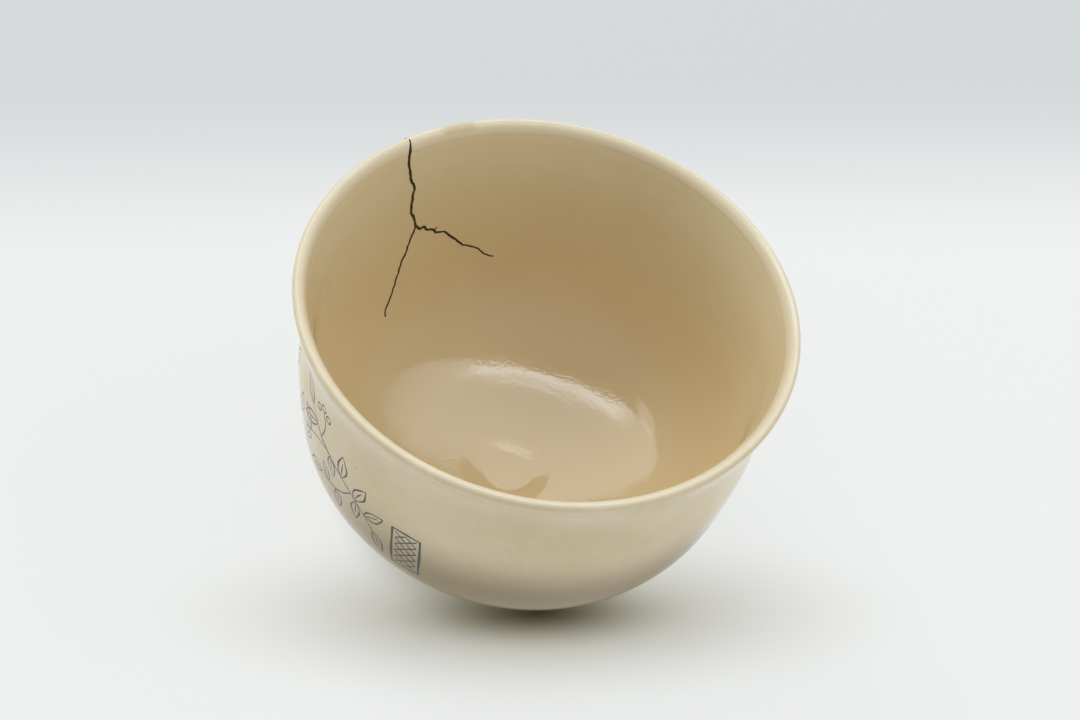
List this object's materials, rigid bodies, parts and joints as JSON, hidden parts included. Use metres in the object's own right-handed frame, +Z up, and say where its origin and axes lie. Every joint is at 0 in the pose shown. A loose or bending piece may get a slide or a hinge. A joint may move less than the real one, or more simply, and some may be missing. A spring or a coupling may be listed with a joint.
{
  "type": "mended tea bowl",
  "caption": "Hand-thrown tea bowl in cream glaze, with a flared lip, a foot ring and a forked crack mended with dark lacquer.",
  "frame": {"origin": "centre of the foot ring's underside, on the surface the bowl stands on", "axes": "+Z up along the bowl's turning axis; +Y towards the back, where the mend is on the left; +X to the right"},
  "size_m": [0.12, 0.12, 0.0751],
  "materials": {
    "cream_glaze": "satin-gloss cream glaze",
    "dark_lacquer": "dark brown lacquer, satin"
  },
  "bodies": {
    "root": {"bowl_body": "cream_glaze", "lacquer_seam": "dark_lacquer"}
  },
  "joints": []
}
